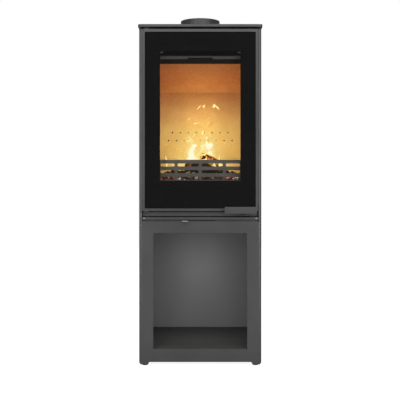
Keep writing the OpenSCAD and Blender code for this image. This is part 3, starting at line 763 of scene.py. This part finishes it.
def haze_sheet():
    """One slightly wavy sheet across the chamber, behind the flames."""
    bm = bmesh.new()
    bmesh.ops.create_grid(bm, x_segments=16, y_segments=10, size=1.0)
    for vert in bm.verts:
        x = HAZE_HALF_WIDTH * vert.co.x
        z = HAZE_MIDDLE_Z + HAZE_HALF_HEIGHT * vert.co.y
        wave = 0.006 * noise.noise(Vector((x, 0, z)) * 14)
        vert.co = (x, FIRE.y + 0.034 + wave, z)
    return new_piece("flame_haze", bm, HAZE)


def flame_sheet(name, x, depth):
    """One of the two big sheets, whose material draws its flames."""
    bm = bmesh.new()
    add_flame(bm, [(x, z, half) for z, half in SHEET_OUTLINE], depth, 0.0, x)
    return new_piece(name, bm, BURNING[name])


def flames():
    rng = random.Random(31)
    burning = [haze_sheet(), flame_sheet("flames_left", -28, FIRE.y - 0.010),
               flame_sheet("flames_right", 26, FIRE.y + 0.006)]
    for name, paths in FLAME_PATHS.items():
        bm = bmesh.new()
        for number, path in enumerate(paths):
            depth = FIRE.y - 0.012 + rng.uniform(-0.030, 0.020)
            if name == "flames_on_log":
                depth = GUARD_BACK_Y + 0.026
            add_flame(bm, path, depth, rng.uniform(-0.25, 0.25), number)
        burning.append(new_piece(name, bm, FLAME))
    for piece in burning:
        piece.visible_shadow = False


def fire():
    """Logs, charcoal, ash and flames, from the guard backwards."""
    floor = BED_HIGH.z
    front = GUARD_BACK_Y
    charred = MATERIALS["firewood"]
    log = split_log("log_front", (-0.058, front + 0.044, floor + 0.019), 4, 0, 0.096, 0.019,
                    [(1.1, 0.70), (3.1, 0.6)], 3, charred)
    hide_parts("firewood_logs")
    split_log("log_rear", (-0.050, front + 0.110, floor + 0.016), -3, 0, 0.140, 0.019,
              [(1.7, 0.60), (4.0, 0.7)], 8, charred)
    split_log("log_leaning", (0.0255, front + 0.034, floor + 0.053), 76, -2, 0.150, 0.031,
              [(2.01, 0.36), (0.5, 0.90), (4.71, 0.62)], 5, HOT_WOOD)
    split_log("ember_stick", (0.092, front + 0.016, floor - 0.022), 8, 6, 0.046, 0.0085,
              [(1.4, 0.6), (3.9, 0.7)], 6, GLOWING)
    charcoal_bed()
    charcoal_row()
    lumps("charcoal_lumps", 110, 0.006, 0.012, MATERIALS["embers"], 11)
    lumps("ash_lumps", 120, 0.003, 0.008, ASHEN, 23)
    lumps("glowing_lumps", 12, 0.004, 0.008, GLOWING, 47)
    flames()


fire()


# ---- camera, lights and floor ----

def lamp(kind, name, place, power, colour):
    data = bpy.data.lights.new(name, kind)
    data.energy = power
    data.color = colour
    made = bpy.data.objects.new(name, data)
    bpy.context.scene.collection.objects.link(made)
    made.location = place
    return made


def area_light(name, place, target, size, power, colour=(1, 1, 1)):
    made = lamp("AREA", name, place, power, colour)
    made.data.shape = "RECTANGLE"
    made.data.size, made.data.size_y = size
    made.rotation_euler = (Vector(target) - Vector(place)).to_track_quat("-Z", "Y").to_euler()
    return made


def fire_light(name, from_fire, power):
    """A soft warm ball of light inside the flames, which the camera doesn't see."""
    made = lamp("POINT", name, FIRE + Vector(from_fire), power, (1.0, 0.84, 0.34))
    made.data.shadow_soft_size = 0.05
    made.visible_camera = False


def white_room():
    """A white backdrop to the camera, and an even grey room as a light."""
    world = bpy.data.worlds.new("studio")
    bpy.context.scene.world = world
    world.use_nodes = True
    tree = world.node_tree
    tree.nodes.clear()
    out = tree.nodes.new("ShaderNodeOutputWorld")
    seen = tree.nodes.new("ShaderNodeBackground")
    seen.inputs["Color"].default_value = (1, 1, 1, 1)
    room = tree.nodes.new("ShaderNodeBackground")
    room.inputs["Color"].default_value = (0.13, 0.13, 0.134, 1)
    path = tree.nodes.new("ShaderNodeLightPath")
    pick = tree.nodes.new("ShaderNodeMixShader")
    tree.links.new(path.outputs["Is Camera Ray"], pick.inputs["Fac"])
    tree.links.new(room.outputs["Background"], pick.inputs[1])
    tree.links.new(seen.outputs["Background"], pick.inputs[2])
    tree.links.new(pick.outputs["Shader"], out.inputs["Surface"])


def pale_floor():
    """White studio floor: lit up to the camera, with only a soft shade under the stove."""
    bm = bmesh.new()
    bmesh.ops.create_circle(bm, cap_ends=True, segments=96, radius=4.0)
    floor = bpy.data.objects.new("floor", mesh_from(bm, "floor"))
    bpy.context.scene.collection.objects.link(floor)
    floor.location.z = -0.0005
    s = Shader("pale_floor")
    fleck = s.noise(0.004, detail=2)
    seen = s.node("ShaderNodeLightPath").outputs["Is Camera Ray"]
    away = s.vector("LENGTH", s.place)
    lit = s.math("MULTIPLY", seen, s.span(away, 0.6, 1.6, 0.93, 1.0))
    shader = s.surface(s.ramp(fleck, (0.3, (0.40, 0.40, 0.40)), (0.7, (0.42, 0.42, 0.42))), 0.9,
                       Emission_Color=(1, 1, 1), Emission_Strength=lit)
    paint(floor, s.done(shader))


CAMERA_DISTANCE = 2.7
EYE_HEIGHT = 0.698


def camera():
    """The photo's level view from straight in front, shifted to frame the whole stove."""
    data = bpy.data.cameras.new("camera")
    data.sensor_width = 36
    data.lens = 67.5
    data.shift_x = -0.0006
    data.shift_y = -0.07
    view = bpy.data.objects.new("camera", data)
    bpy.context.scene.collection.objects.link(view)
    view.location = (0, DOOR_Y - CAMERA_DISTANCE, EYE_HEIGHT)
    view.rotation_euler = (math.radians(90), 0, 0)
    bpy.context.scene.camera = view


# Name, place, target, size, power in watts
STUDIO_LIGHTS = [
    ("overhead", (0, -0.6, 3.2), (0, -0.1, 0), (3.0, 3.0), 40),
    ("front_box", (0, -3.1, 2.7), (0, 0, 0.7), (1.6, 0.9), 23.5),
    ("left_box", (-0.87, -1.78, 0.82), (0, 0, 0.82), (0.13, 1.6), 7.2),
    ("right_box", (0.87, -1.78, 0.82), (0, 0, 0.82), (0.13, 1.6), 7.8),
    ("left_edge_box", (-1.59, -1.5, 0.9), (-0.22, -0.18, 0.9), (0.22, 1.6), 4.2),
    ("right_edge_box", (1.59, -1.5, 0.9), (0.22, -0.18, 0.9), (0.22, 1.6), 4.6),
    ("rear_box", (0, 2.6, 2.2), (0, 0, 0.7), (1.6, 1.6), 9),
]

camera()
white_room()
pale_floor()
for light in STUDIO_LIGHTS:
    area_light(*light)

# Two small lamps that the camera doesn't see: on the log store's back, and on the bed's front
store_lamp = area_light("store_lamp", (0, DOOR_Y + 0.08, 0.28), (0, 1, 0.28), (0.10, 0.10), 0.26)
store_lamp.visible_camera = False
bed_lamp = area_light("bed_lamp", (0, GUARD_BACK_Y + 0.003, 0.688), (0, GUARD_BACK_Y + 0.014, 0.668),
                      (0.28, 0.006), 0.022, (1.0, 0.90, 0.82))
bed_lamp.visible_camera = False

fire_light("fire_left", (-0.085, 0.01, 0.085), 0.44)
fire_light("fire_right", (0.09, 0.01, 0.085), 0.43)
fire_light("fire_top", (0.01, 0.045, 0.215), 0.38)
bpy.context.scene.view_settings.view_transform = "Standard"
